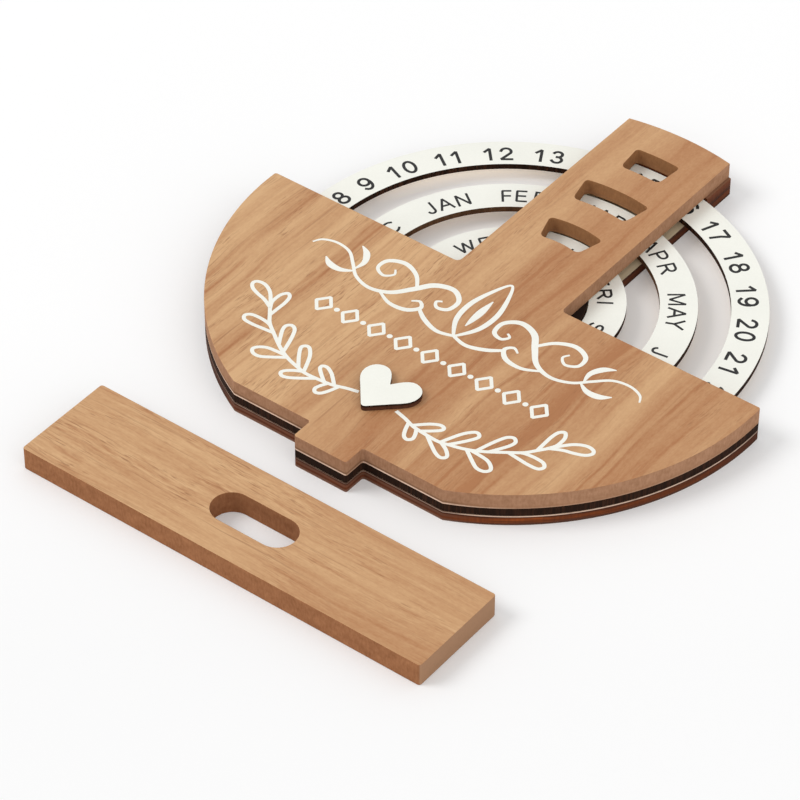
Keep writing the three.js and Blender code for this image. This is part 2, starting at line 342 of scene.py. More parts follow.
# The flourish is given as its right half and its middle, with y from this level
FLOURISH_LEVEL = -21
FLOURISH_HALF = [
    [(13.4, -0.6, 0.8), (15, -2, 1.0), (13, -4.2, 1.3), (9.4, -2.6, 1.6), (9.2, 2.8, 1.7), (14, 6.4, 2.0),
     (20.5, 4.4, 2.3), (25, -1.5, 2.2), (30, -7.4, 1.8), (37, -9.8, 1.4), (44, -7.8, 1.2), (49, -3.2, 1.2),
     (54, 1.2, 1.1), (60, 2.4, 1.0), (65, 0.8, 0.9), (67, -2.2, 0.6)],
    [(24.2, -0.4, 1.2), (28.6, 5, 1.5), (35, 7.6, 1.8), (40.6, 5.2, 1.7), (41.2, 0.4, 1.3),
     (37.4, -1.8, 1.1), (34.6, 0.6, 0.9), (35.8, 3, 0.7)],
    [(33, -9.2, 0.9), (27, -12, 1.4), (20.6, -11.4, 1.8), (17.2, -7.8, 1.5), (19.2, -5.2, 1.1),
     (21.8, -6.6, 0.7)],
    [(46.5, -6, 0.6), (50.5, -8.2, 2.0), (55, -8, 2.4), (58.6, -5.6, 0.4)],
    [(47, -5, 0.6), (46.4, -0.4, 1.9), (48.6, 3.8, 2.3), (52.2, 6.2, 0.4)],
    [(0, -12.4, 1.2), (6, -13.8, 1.5), (12.6, -11.6, 1.7), (17.4, -8.2, 1.2)],
]
FLOURISH_LOOP = [
    (0, -12.6, 1.0), (4.4, -5, 1.8), (5.4, 4, 1.9), (3.2, 13.5, 1.4), (0, 20, 0.9),
    (-3.2, 13.5, 1.4), (-5.4, 4, 1.9), (-4.4, -5, 1.8), (0, -12.6, 1.0),
]
FLOURISH_DROP = [(0, -6, 0.4), (0, -1.5, 2.2), (0, 3.5, 2.6), (0, 9.5, 0.4)]


# Nodes of the finishes

# The part of its range that noise mostly fills
NOISE_SPAN = (0.3, 0.7)
# How much of a normal lies along an axis where a face begins to look that way, and where it does fully
FACING = (0.5, 0.8)


def shade(colour, factor):
    """The colour made darker or paler by a factor."""
    return [channel * factor for channel in colour]


class Nodes:
    """The node tree of a material or a world, filled by short calls."""

    def __init__(self, owner):
        owner.use_nodes = True
        self.tree = owner.node_tree
        self.tree.nodes.clear()

    def node(self, kind, *inputs, **settings):
        """A new node with these settings, its first sockets joined to the inputs."""
        made = self.tree.nodes.new(kind)
        for name, value in settings.items():
            setattr(made, name, value)
        for source, target in zip(inputs, made.inputs):
            self.join(source, target)
        return made

    def join(self, source, target):
        """Links a socket, or sets a constant on it."""
        if isinstance(source, bpy.types.NodeSocket):
            self.tree.links.new(source, target)
        else:
            target.default_value = source


class Finish(Nodes):
    """One material, made from short calls that hand sockets on."""

    def __init__(self, name, roughness, specular):
        self.material = bpy.data.materials.new(name)
        super().__init__(self.material)
        self.shader = self.node("ShaderNodeBsdfPrincipled")
        self.shader.inputs["Roughness"].default_value = roughness
        self.shader.inputs["Specular IOR Level"].default_value = specular
        self.output = self.node("ShaderNodeOutputMaterial", self.shader.outputs["BSDF"])
        self.place = self.node("ShaderNodeTexCoord").outputs["Object"]
        self.x, self.y, self.z = self.node("ShaderNodeSeparateXYZ", self.place).outputs

    def calc(self, operation, *values):
        return self.node("ShaderNodeMath", *values, operation=operation).outputs[0]

    def size(self, value):
        """The value without its sign."""
        return self.calc("ABSOLUTE", value)

    def plus(self, *values):
        """The sum of all values."""
        return reduce(lambda one, two: self.calc("ADD", one, two), values)

    def times(self, *values):
        """The product of all values."""
        return reduce(lambda one, two: self.calc("MULTIPLY", one, two), values)

    def spread(self, value, low, high, to_low=0.0, to_high=1.0, kind="LINEAR"):
        """Stretches a value from one range to another and stops it there."""
        made = self.node("ShaderNodeMapRange", value, low, high, to_low, to_high, interpolation_type=kind)
        return made.outputs[0]

    def zone(self, along, low, high, to_low=0.0, to_high=1.0, kind="LINEAR"):
        """The same for a place along an axis, with its range in millimetres."""
        return self.spread(along, low * MM, high * MM, to_low, to_high, kind)

    def slope(self, along, low, high, to_low=0.0, to_high=1.0):
        """A zone that starts and ends gently."""
        return self.zone(along, low, high, to_low, to_high, "SMOOTHSTEP")

    def fade(self, share, at_none, at_full):
        """Goes from one number to another as a share goes from 0 to 1."""
        return self.spread(share, 0, 1, at_none, at_full)

    def blots(self, grain, shift, to_low=0.0, to_high=1.0, span=NOISE_SPAN, detail=2, roughness=0.5):
        """Noise whose blots have these sizes in millimetres along x, y and z, or none where it is 0."""
        scales = [1 / (size * MM) if size else 0 for size in grain]
        move = (shift, shift * 1.7, shift * 2.3)
        scaled = self.node("ShaderNodeMapping", self.place, move, (0, 0, 0), scales)
        made = self.node("ShaderNodeTexNoise", scaled.outputs[0])
        for name, number in (("Scale", 1), ("Detail", detail), ("Roughness", roughness)):
            made.inputs[name].default_value = number
        return self.spread(made.outputs["Fac"], *span, to_low, to_high)

    def mix(self, share, first, second):
        """Blends two colours."""
        made = self.node("ShaderNodeMix", share, data_type="RGBA")
        for colour, socket in ((first, made.inputs[6]), (second, made.inputs[7])):
            self.join(colour if isinstance(colour, bpy.types.NodeSocket) else (*colour, 1), socket)
        return made.outputs[2]

    def band(self, along, middle, half, strength):
        """A soft band of strength around a place on one axis."""
        return self.slope(self.size(self.calc("SUBTRACT", along, middle * MM)), 0, half, strength, 0)

    def line(self, along, low, high, soft):
        """1 between two heights in millimetres and 0 outside, with soft edges."""
        rise = self.zone(along, low - soft, low + soft)
        return self.times(rise, self.zone(along, high - soft, high + soft, 1, 0))

    def reach(self):
        """Distance from the upright axis through the origin."""
        level = self.node("ShaderNodeCombineXYZ", self.x, self.y)
        return self.node("ShaderNodeVectorMath", level.outputs[0], operation="LENGTH").outputs["Value"]

    def along(self, way):
        """How far a place lies along a way given as x and y."""
        return self.plus(self.times(self.y, way[1]), self.times(self.x, way[0]))

    def looks(self):
        """Which way the surface looks, as x, y and z."""
        normal = self.node("ShaderNodeNewGeometry").outputs["True Normal"]
        return self.node("ShaderNodeSeparateXYZ", normal).outputs

    def level(self):
        """1 on faces that look up or down and 0 on upright sides."""
        return self.spread(self.size(self.looks()[2]), *FACING)

    def emission(self, colour, strength):
        return self.node("ShaderNodeEmission", (*colour, 1), strength).outputs[0]

    def paint(self, colour, height, depth):
        """Joins the colour and bumps of this depth in millimetres, and hands the material over."""
        bump = self.node("ShaderNodeBump")
        for name, value in (("Strength", 1), ("Distance", depth * MM), ("Height", height)):
            self.join(value, bump.inputs[name])
        self.join(bump.outputs[0], self.shader.inputs["Normal"])
        self.join(colour, self.shader.inputs["Base Color"])
        return self.material


# Bands and lines in the veneers: place across the grain, half width and strength, in millimetres.
# A darker mark has a positive strength.
PANEL_BANDS = [
    (-82, 9, 0.40), (-70, 5, 0.26), (-54, 8, 0.42), (-36, 12, -0.08), (-18, 8, 0.30),
    (6, 7, 0.14), (14.5, 7, 0.10), (26, 5.5, -0.34), (47, 7.5, 0.30), (58, 5, -0.12),
    (65.5, 8, -0.46), (84, 7, 0.12), (99, 6, -0.16),
]
PANEL_LINES = [
    (-83.5, 1.1, 0.42), (-78.5, 1.2, 0.46), (-72, 1, 0.26), (-56.5, 1.2, 0.30),
    (-53.5, 1.1, 0.34), (-45.5, 0.9, 0.30), (-31, 0.9, 0.22), (-15.5, 1, 0.24),
    (3.5, 1.2, 0.24), (14.5, 1.3, 0.26), (28.5, 1.1, 0.40), (40.5, 1.1, 0.34),
    (49.5, 1.5, 0.52), (53.5, 1, 0.30), (61.5, 1, 0.38), (70.5, 1.2, 0.22),
    (74.5, 1, 0.30), (78.5, 1.3, 0.36), (88.5, 1, 0.34),
]
BASE_BANDS = [(-119.5, 4, 0.26), (-131.5, 4, 0.08), (-140, 3, 0.06), (-155.5, 4, 0.08)]
BASE_LINES = [(-127.5, 0.9, 0.18), (-133.5, 1, 0.24), (-140.5, 0.9, 0.20), (-150.5, 0.9, 0.22)]

# How far the grain wanders to either side, and the width, length and strength of the fine fibres
PANEL_WANDER, BASE_WANDER = 1.6, 1.3
PANEL_FIBRES = (1, 20, 0.15)
BASE_FIBRES = (0.6, 7, 0.30)


def veneer(name, colours, along_y, bands, lines, wander, fibre, drift, wear):
    """Wood veneer: broad bands, soft streaks, fine lines and short dark pores along one wavy grain."""
    wood = Finish(name, 0.52, 0.25)
    across, along = (wood.x, wood.y) if along_y else (wood.y, wood.x)
    fibre_wide, fibre_long, fibre_depth = fibre

    def layer(wide, long, *rest, **more):
        return wood.blots((wide, long, 0) if along_y else (long, wide, 0), *rest, **more)

    wave = layer(30, 80, 3.1, -wander * MM, wander * MM, detail=1)
    ripple = layer(12, 22, 5.7, -wander / 5 * MM, wander / 5 * MM, detail=1)
    place = wood.plus(wave, ripple, across)
    wavy = (place, along) if along_y else (along, place)
    wood.place = wood.node("ShaderNodeCombineXYZ", *wavy).outputs[0]

    worn = wear(wood, place, along)
    broad = wood.plus(drift(wood, place, along), *(wood.band(place, *band) for band in bands))
    drawn = wood.times(
        wood.plus(*(wood.band(place, *line) for line in lines)),
        wood.spread(worn, 0.2, 0.6, 0.35, 1),
        layer(10, 35, 6.3, 0.15, 1.15, (0.38, 0.62)),
    )
    clouds = layer(9, 60, 7.7, -0.09, 0.09)
    streaks = layer(3.4, 60, 1.3, -0.2, 0.2, detail=3)
    patches = layer(7, 20, 4.6, 0.05, 1, (0.48, 0.62))
    fibres = layer(fibre_wide, fibre_long, 5.9, -fibre_depth, fibre_depth)
    fibres = wood.times(fibres, wood.fade(patches, 0.4, 1))
    mottle = layer(2.2, 4.5, 8.3, -0.05, 0.05)
    grit = layer(0.6, 1.4, 2.7, -0.07, 0.07, detail=1)
    tone = wood.plus(broad, drawn, clouds, wood.times(wood.plus(streaks, fibres), worn), mottle, grit)
    ground = wood.mix(wood.spread(tone, 0, 1), colours.veneer_light, colours.veneer_dark)

    hairs = layer(1.1, 60, 2.2, 0, 0.45, (0.60, 0.76))
    pores = layer(0.4, 5, 9.4, 0, 0.55, (0.56, 0.70), detail=1)
    marks = wood.times(wood.calc("MAXIMUM", hairs, wood.times(pores, patches)), worn)
    wood.join(wood.fade(fibres, 0.50, 0.58), wood.shader.inputs["Roughness"])
    ground = wood.mix(marks, ground, colours.veneer_pore)
    return wood.paint(ground, wood.calc("SUBTRACT", fibres, marks), 0.025)


def panel_drift(wood, across, along):
    """The front veneer is paler on its left half."""
    return wood.slope(across, -22, 8, 0.17, 0.68)


def panel_wear(wood, across, along):
    """Fine marks show most on the left half of the board and least up the stem."""
    return wood.times(wood.slope(across, -30, 20, 1.1, 0.65), wood.slope(along, 0, 50, 1, 0.5))


def base_drift(wood, across, along):
    """The stand's veneer darkens a little to the right, most of all along its front."""
    front = wood.times(wood.slope(across, -148, -142, 0.24, 0), wood.slope(along, 0, 40))
    return wood.plus(wood.slope(along, -40, 60, 0.25, 0.31), front)


def base_wear(wood, across, along):
    """Fine marks show most on the stand's left half."""
    return wood.slope(along, -30, 30, 1.15, 0.7)


def panel_veneer(colours):
    """The front board's veneer, its grain along y."""
    grain = PANEL_BANDS, PANEL_LINES, PANEL_WANDER, PANEL_FIBRES
    return veneer("panel_veneer", colours, True, *grain, panel_drift, panel_wear)


def base_veneer(colours):
    """The stand base's veneer, its grain along x."""
    grain = BASE_BANDS, BASE_LINES, BASE_WANDER, BASE_FIBRES
    return veneer("base_veneer", colours, False, *grain, base_drift, base_wear)


# Places on the cut sides, in millimetres: how far the windows reach from the stem's middle, where the board's
# foot begins along y, where the tab's sides end and where the base's own ends begin along x, and how high the
# pale line is
WINDOW_REACH = 18
FOOT_ZONE = (-90, -94)
TAB_ZONE = (20, 30)
END_ZONE = (30, 40)
PALE_LINE = 0.5


def fibre_board(name, colour, dark):
    """The mottled cut side of pressed fibre board: its finish, its mottle and its colour so far."""
    board = Finish(name, 0.85, 0.1)
    coarse = board.blots((5, 5, 3), 4.2, detail=4, roughness=0.65)
    mottle = board.times(board.plus(coarse, board.blots((0.8, 0.8, 2), 6.1)), 0.5)
    return board, mottle, board.mix(mottle, colour, dark)


def base_side(colours):
    """The stand base's side, with its end faces made paler by painted sheen."""
    board, mottle, ground = fibre_board("base_side", colours.base_side, colours.base_side_dark)
    # Painted sheen: faces that look along x near the base's ends take a paler, greyer colour that stands in
    # for light from the right, not for a different board
    facing = board.spread(board.size(board.looks()[0]), *FACING, 0, 0.8)
    ends = board.times(facing, board.zone(board.size(board.x), *END_ZONE))
    return board.paint(board.mix(ends, ground, colours.base_end), mottle, 0.05)


def panel_side(colours):
    """The front board's side: browner window walls, a pale line at its foot and a scorched one above that."""
    board, mottle, ground = fibre_board("panel_side", colours.board_side, colours.board_side_dark)
    near = board.zone(board.size(board.x), WINDOW_REACH, WINDOW_REACH + 1, 1, 0)
    brown = board.mix(mottle, shade(colours.window_wall, 1.15), shade(colours.window_wall, 0.8))
    ground = board.mix(board.times(near, board.zone(board.y, 0, 1)), ground, brown)

    foot = board.zone(board.y, *FOOT_ZONE)
    top = PANEL_UNDERSIDE + PALE_LINE
    scorched = board.times(board.line(board.z, top, top + 0.7, 0.5), board.fade(foot, 0.5, 0))
    ground = board.mix(scorched, ground, colours.board_side_dark)
    burnt = board.times(board.line(board.z, top + 0.2, top + 1.0, 0.2), foot, 0.55)
    ground = board.mix(burnt, ground, shade(colours.board_side_dark, 0.45))

    lowered = board.calc("SUBTRACT", board.z, board.times(foot, 0.16 * MM))
    tab_right = board.times(board.spread(board.looks()[0], *FACING), board.zone(board.x, *TAB_ZONE, 1, 0))
    pale = board.times(
        board.line(lowered, PANEL_UNDERSIDE, top, 0.06),
        board.blots((4, 4, 0), 8.8, 0.6, 1, (0.3, 0.5), detail=3),
        board.zone(board.x, 38, 62, 1, 0.12),
        board.zone(board.y, -30, 0, 1, 0),
        board.fade(tab_right, 1, 0.2),
    )
    return board.paint(board.mix(pale, ground, colours.pale_line), mottle, 0.05)


def burnt_side(name, dark, warm, least=0.25, most=0.85, bore=None):
    """A side burnt by the cutting beam: near black with upright brown streaks, or these just in its bore."""
    burnt = Finish(name, 0.8, 0.08)
    streaks = burnt.blots((0.7, 0.7, 12), 2.6, span=(0.42, 0.72), detail=3, roughness=0.6)
    patches = burnt.blots((12, 12, 6), 7.3, least, most, (0.35, 0.7))
    if bore:
        patches = burnt.times(patches, burnt.zone(burnt.reach(), bore, bore + 1, 1, 0.2))
        streaks = burnt.fade(streaks, 0.6, 1)
    return burnt.paint(burnt.mix(burnt.times(streaks, patches), dark, warm), streaks, 0.06)


def charred_edge(colours):
    """The dials' burnt side."""
    return burnt_side("charred_edge", colours.char, colours.char_warm)


def heart_edge(colours):
    """The heart's burnt side: black under its face and dark brown below."""
    burnt = Finish("heart_edge", 0.8, 0.1)
    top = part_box("heart")[1].z / MM
    streaks = burnt.blots((1.2, 1.2, 12), 2.6, 0.55, 1, detail=3)
    below = burnt.zone(burnt.z, top - 1.1, top - 0.5, 1, 0.1)
    ground = burnt.mix(burnt.times(streaks, below), colours.char, colours.heart_warm)
    return burnt.paint(ground, streaks, 0.05)


def back_board_edge(colours):
    """The side of the back sheet, from the top: a pale line, dark plies, a red ply and a dull foot."""
    board = Finish("back_board_edge", 0.75, 0.12)
    height = board.plus(board.z, board.blots((20, 20, 0), 3.3, -0.25 * MM, 0.25 * MM))
    streaks = board.blots((0.8, 0.8, 10), 5.5, detail=3)
    arc = board.slope(board.x, 35, 55)
    front = board.zone(board.x, -50, -43)
    stem = board.zone(board.y, -20, 10)
    redness = board.times(
        board.zone(height, 0.6, 1.1),
        board.zone(height, 2.5, 3.3, 1, 0.1),
        board.blots((30, 30, 10), 1.9, 0.55, 1, (0.35, 0.65), detail=1),
        board.fade(streaks, 0.6, 1),
        board.zone(board.x, 66, 98, 1, 0.3),
        board.fade(front, 0.1, 1),
        board.fade(arc, 0.6, 1),
        board.fade(stem, 1, 0.6),
        board.blots((18, 18, 1.1), 7.4, 1, 0.35, (0.42, 0.62)),
    )
    ground = board.mix(redness, colours.back_dark, colours.back_red)
    foot = board.times(board.zone(height, 0.6, 1.3, 1, 0), board.fade(arc, 1, 0.25))
    brow = board.times(board.line(height, 1.9, 2.9, 0.2), board.fade(arc, 0.5, 0))
    faded = board.times(board.calc("MAXIMUM", foot, brow), board.fade(front, 0.2, 1), board.fade(stem, 1, 0))
    ground = board.mix(faded, ground, colours.back_dull)

    upper = board.zone(board.z, BACK_TOP - 0.35, BACK_TOP - 0.25)
    sunk = board.times(upper, board.zone(board.y, *FOOT_ZONE))
    pale = board.times(
        board.line(board.z, BACK_TOP - 0.55, BACK_TOP - 0.14, 0.08),
        board.fade(sunk, 1, 0.1),
        board.blots((4, 4, 0), 6.6, 0.6, 1, (0.3, 0.5), detail=3),
        board.fade(arc, 0.42, 0.85),
        board.zone(board.y, -99, -96, 0.5, 1),
        board.fade(stem, 1, 0.05),
        board.fade(front, 0.5, 1),
    )
    return board.paint(board.mix(pale, ground, colours.pale_line), streaks, 0.04)


def plain_board_face(name, colour, darkest):
    """The bare face of a board: dull, with faint grain along y."""
    board = Finish(name, 0.8, 0.15)
    clouds = board.blots((6, 50, 0), 4.4, detail=3)
    fibres = board.blots((0.6, 12, 0), 1.1)
    share = board.times(board.plus(clouds, fibres), 0.4)
    return board.paint(board.mix(share, colour, shade(colour, darkest)), fibres, 0.03)


def bare_underside(colours):
    """The unpainted undersides of the dials and the front board."""
    return plain_board_face("bare_underside", colours.under, 0.85)


def white_paint(colours):
    """Satin white paint on board, with a very faint unevenness."""
    white = Finish("white_paint", 0.45, 0.3)
    specks = white.blots((0.6, 0.6, 0), 8.1)
    share = white.plus(white.times(white.blots((18, 18, 0), 3.7), 0.6), white.times(specks, 0.3))
    return white.paint(white.mix(share, colours.white, shade(colours.white, 0.93)), specks, 0.012)


def dial_ink(colours):
    """Dark printed lettering, a little uneven in its cover."""
    ink = Finish("dial_ink", 0.5, 0.3)
    cover = ink.blots((0.9, 0.9, 0), 2.9, span=(0.45, 0.75), detail=3)
    worn = [channel * 2.6 + 0.004 for channel in colours.ink]
    return ink.paint(ink.mix(cover, colours.ink, worn), cover, 0.01)


def spacer_board(colours):
    """Dull board faces and a charred side, told apart by which way the surface looks."""
    board = Finish("spacer_board", 0.8, 0.15)
    clouds = board.blots((5, 30, 10), 2.4, detail=3)
    streaks = board.blots((0.7, 0.7, 12), 5.1, span=(0.45, 0.75), detail=3)
    side = board.mix(streaks, colours.char, colours.char_warm)
    face = board.mix(clouds, colours.char, shade(colours.char, 0.6))
    return board.paint(board.mix(board.level(), side, face), streaks, 0.03)


def stem_end_board(colours):
    """Dull board faces and a side that goes from brown at its head to dark at its foot."""
    board = Finish("stem_end_board", 0.8, 0.15)
    streaks = board.blots((0.9, 0.9, 12), 5.1, -0.2, 0.2, detail=3)
    rise = board.zone(board.z, BACK_TOP - 1.5, PANEL_UNDERSIDE)
    side = board.mix(board.plus(rise, streaks), colours.back_dark, colours.stem_brown)
    return board.paint(board.mix(board.level(), side, colours.stem_ledge), streaks, 0.03)


# Ways across the table as x and y: to the back, and to the left where light comes out from under the dials
TO_BACK = (-0.6, 0.8)
TO_LEFT = (-0.73, 0.68)
# Where the table's looks change: on the way to the back, and out from the dials' centre, in millimetres
BACK_ZONE = (-160, 0)
CLEAR_ZONE = (80, 92)
UNDER_ZONE = (68, 76)
OUTER_RISE, OUTER_FALL = (71.4, 76.8), (80, 85)
INNER_RISE, INNER_FALL = (49.5, 54), (57, 62)
# How straight to the left the light lies, and its strength in the inner gap for 1 in the outer one
LEFT_SPAN = (0.88, 0.99)
INNER_LIGHT = 0.33


def floor_paint(studio):
    """A pale table top, part way to white for the camera, the more at the back, with painted warm bounce
    light under and beside the dials.
    """
    floor = Finish("floor_paint", 0.9, 0.1)
    clouds = floor.blots((300, 300, 0), 1.0, detail=1)
    plain = floor.mix(clouds, studio.floor_colour, shade(studio.floor_colour, 0.985))
    reach = floor.reach()
    # Painted bounce light: inside the dials' reach the table takes a warmer tint that stands in for light
    # thrown off the wood
    under = floor.mix(floor.zone(reach, *UNDER_ZONE, 1, 0), plain, studio.floor_under)
    floor.join(under, floor.shader.inputs["Base Color"])
    seen = floor.node("ShaderNodeLightPath").outputs["Is Camera Ray"]

    back = floor.times(floor.zone(floor.along(TO_BACK), *BACK_ZONE), floor.zone(reach, *CLEAR_ZONE))
    white = floor.emission((1, 1, 1), floor.plus(floor.times(back, studio.floor_lift / studio.floor_glow), 1))
    share = floor.times(seen, studio.floor_glow)
    whiter = floor.node("ShaderNodeMixShader", share, floor.shader.outputs[0], white)

    left = floor.spread(floor.calc("DIVIDE", floor.along(TO_LEFT), reach), *LEFT_SPAN)
    outer = floor.times(floor.zone(reach, *OUTER_RISE), floor.zone(reach, *OUTER_FALL, 1, 0))
    inner = floor.times(floor.zone(reach, *INNER_RISE, 0, INNER_LIGHT), floor.zone(reach, *INNER_FALL, 1, 0))
    warm = floor.emission(studio.floor_bounce, floor.times(floor.plus(outer, inner), left, seen))
    both = floor.node("ShaderNodeAddShader", whiter.outputs[0], warm)
    floor.join(both.outputs[0], floor.output.inputs["Surface"])
    return floor.material


# Pieces cut from the frame's own boards

# Edges sharper than the first are eased, flatter than the second dissolve, flatter than the third look smooth
SHARP_EDGE = math.radians(40)
FLAT_EDGE = math.radians(0.4)
SHADE_BREAK = math.radians(20)
# The least z of a normal that looks straight up, and what counts as one point and as one level, in metres
LEVEL_FACE = 0.9
BOARD_WELD = 1e-7
SAME_LEVEL = 1e-6

# The slot of each replaced board and how far its rims are eased, in millimetres
BOARDS = {
    "front_panel": ("veneer", 0.18),
    "back_panel": ("back_board", 0.12),
    "rim_spacer": ("spacer_board", 0.08),
    "date_ring": ("white_board", 0.08),
    "month_ring": ("white_board", 0.08),
    "weekday_ring": ("white_board", 0.08),
    "heart": ("white_board", 0.1),
    "stand_base": ("stand_veneer", 0.2),
}


def eased_copy(node, ease):
    """A copy of a board with its rims eased, its faces cleaned and its curved sides shaded smooth."""
    mesh = bmesh.new()
    mesh.from_mesh(frame["nodes"][node].data)
    bmesh.ops.remove_doubles(mesh, verts=mesh.verts, dist=BOARD_WELD)
    bmesh.ops.dissolve_limit(mesh, angle_limit=FLAT_EDGE, verts=mesh.verts, edges=mesh.edges)
    rims = [e for e in mesh.edges if len(e.link_faces) == 2 and e.calc_face_angle() > SHARP_EDGE]
    rims = [e for e in rims if abs(e.verts[0].co.z - e.verts[1].co.z) < SAME_LEVEL]
    bmesh.ops.bevel(mesh, geom=rims, offset=ease, segments=2, profile=0.5, affect="EDGES")
    bmesh.ops.recalc_face_normals(mesh, faces=mesh.faces)
    for edge in mesh.edges:
        edge.smooth = len(edge.link_faces) == 2 and edge.calc_face_angle() < SHADE_BREAK
    for face in mesh.faces:
        face.smooth = True
    return object_from(mesh, node + "_eased")


def body_of(node):
    """The frame's body that a node belongs to."""
    return next(name for name, members in frame["record"]["behaviour"]["bodies"].items() if node in members)


def dress_board(node, materials):
    """Replaces a node by its eased copy, in materials for its top, its sides and its underside."""
    slot, ease = BOARDS[node]
    piece = eased_copy(node, ease * MM)
    finish_piece(piece, body_of(node), slot, materials)
    for face in piece.data.polygons:
        face.material_index = 0 if face.normal.z > LEVEL_FACE else 2 if face.normal.z < -LEVEL_FACE else 1
    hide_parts(node)


# Settings that a user would change


def length(name, text, millimetres):
    return bpy.props.FloatProperty(
        name=name, description=text, default=millimetres * MM, min=0, unit="LENGTH", precision=5
    )


def degrees(name, text, angle):
    return bpy.props.FloatProperty(name=name, description=text, default=math.radians(angle), subtype="ANGLE")


def ratio(name, text, share):
    return bpy.props.FloatProperty(name=name, description=text, default=share, min=0)


def tint(name, text, *screen_values):
    return bpy.props.FloatVectorProperty(
        name=name, description=text, default=linear(*screen_values), size=3, min=0, max=1, subtype="COLOR"
    )


class CalendarLettering(bpy.types.PropertyGroup):
    """Sizes and places of the lettering on the dials"""

    number_height: length("Number height", "Height of the date numbers", 7.25)
    number_stroke: length("Number stroke", "Stroke of the date numbers", 1.08)
    number_gap: length("Number gap", "Space between the two digits of a date", 1.5)
    ones_closing: length("Closing of ones", "How much closer the ones of an 11 stand", 0.75)
    number_inset: length("Number inset", "Outer edge of the date dial to its numbers", 3.45)
    month_height: length("Month height", "Height of the month names", 6.4)
    month_stroke: length("Month stroke", "Stroke of the month names", 0.86)
    month_gap: length("Month gap", "Least space between the letters of a month", 0.45)
    month_room: length("Month room", "Further space beside each upright side of a letter", 0.95)
    month_seam: length("Month seam", "Further space before JAN", 1.6)
    month_inset: length("Month inset", "Outer edge of the month dial to its names", 3.7)
    weekday_height: length("Weekday height", "Height of the weekday names", 5.5)
    weekday_stroke: length("Weekday stroke", "Stroke of the weekday names", 0.84)
    weekday_gap: length("Weekday gap", "Space between the letters of a weekday", 1.7)
    weekday_inset: length("Weekday inset", "Outer edge of the weekday dial to its names", 4.5)
    thickness: length("Ink thickness", "How far the lettering stands above the dial", 0.03)
    month_stretch: ratio("Month stretch", "Width of the month letters, 1 for usual", 1.1)
    weekday_stretch: ratio("Weekday stretch", "Width of the weekday letters, 1 for usual", 1.27)
    eighth_at: degrees("The 8th at", "Where the 8 stands on the date dial", 174.33)
    january_at: degrees("January at", "Where JAN stands on the month dial", 149.95)
    wednesday_at: degrees("Wednesday at", "Where WED stands on the weekday dial", 145.2)


class CalendarOrnament(bpy.types.PropertyGroup):
    """Sizes of the painted ornament"""

    middle: length("Middle", "How far the ornament lies right of the dials' centre", 0.6)
    sprig_stroke: length("Sprig stroke", "Stroke of the painted sprigs", 1.32)
    lozenge_height: length("Lozenge height", "Height of the lozenges in the row", 7.6)
    lozenge_width: length("Lozenge width", "Width of the lozenges in the row", 6.2)
    lozenge_stroke: length("Lozenge stroke", "Stroke of the lozenges", 1.2)
    dot_size: length("Dot size", "Diameter of the dots between the lozenges", 2.0)
    row_length: length("Row length", "Length of the row of lozenges", 88)
    row_drop: length("Row drop", "How far the row lies below the dials' centre", 46.3)
    thickness: length("Paint thickness", "How far the paint stands above the veneer", 0.05)
    lozenges: bpy.props.IntProperty(name="Lozenges", description="Lozenges in the row", default=9, min=2)


class CalendarColours(bpy.types.PropertyGroup):
    """Colours of the finishes"""

    veneer_light: tint("Veneer, light", "Palest tone of the wood veneer", 214, 172, 127)
    veneer_dark: tint("Veneer, dark", "Darkest broad tone of the wood veneer", 174, 119, 78)
    veneer_pore: tint("Veneer, pores", "Fine dark marks in the veneer", 140, 90, 56)
    board_side: tint("Board side", "Cut side of the front board", 180, 137, 107)
    board_side_dark: tint("Board side, dark", "Darker mottle on the front board's side", 150, 109, 80)
    window_wall: tint("Window wall", "Walls of the windows in the stem", 158, 112, 74)
    base_side: tint("Base side", "Cut side of the stand base", 166, 114, 78)
    base_side_dark: tint("Base side, dark", "Darker mottle on the stand base's side", 132, 85, 54)
    # Painted sheen: the paler colour that the base's end faces show in light from the right
    base_end: tint("Base end", "Cut ends of the stand base", 165, 130, 102)
    under: tint("Underside", "Undersides of the dials and the front board", 225, 200, 172)
    pale_line: tint("Pale line", "Thin pale line at the edge of a sheet", 240, 209, 186)
    char: tint("Char", "Burnt sides of the spacers and dials", 34, 20, 12)
    char_warm: tint("Char, warm", "Browner streaks in the burnt sides", 90, 54, 36)
    ring_brown: tint("Month dial's bore", "Brown of the month dial's inner wall", 120, 86, 60)
    heart_warm: tint("Heart side", "Brown of the heart's burnt side", 92, 56, 40)
    back_dark: tint("Back board, dark", "Dark plies of the back board's side", 64, 34, 22)
    back_red: tint("Back board, red", "Red brown ply of the back board's side", 158, 78, 30)
    back_dull: tint("Back board, dull", "Dull foot of the back board's side", 124, 88, 71)
    stem_brown: tint("Stem end", "Brown side of the spacer at the stem's end", 113, 62, 37)
    stem_ledge: tint("Stem end, top", "Brown top of the spacer at the stem's end", 140, 100, 75)
    back_face: tint("Back board, face", "Bare faces of the back board", 214, 194, 162)
    white: tint("White paint", "Dials, heart and painted ornament", 249, 249, 240)
    ink: tint("Ink", "Lettering on the dials", 22, 22, 22)


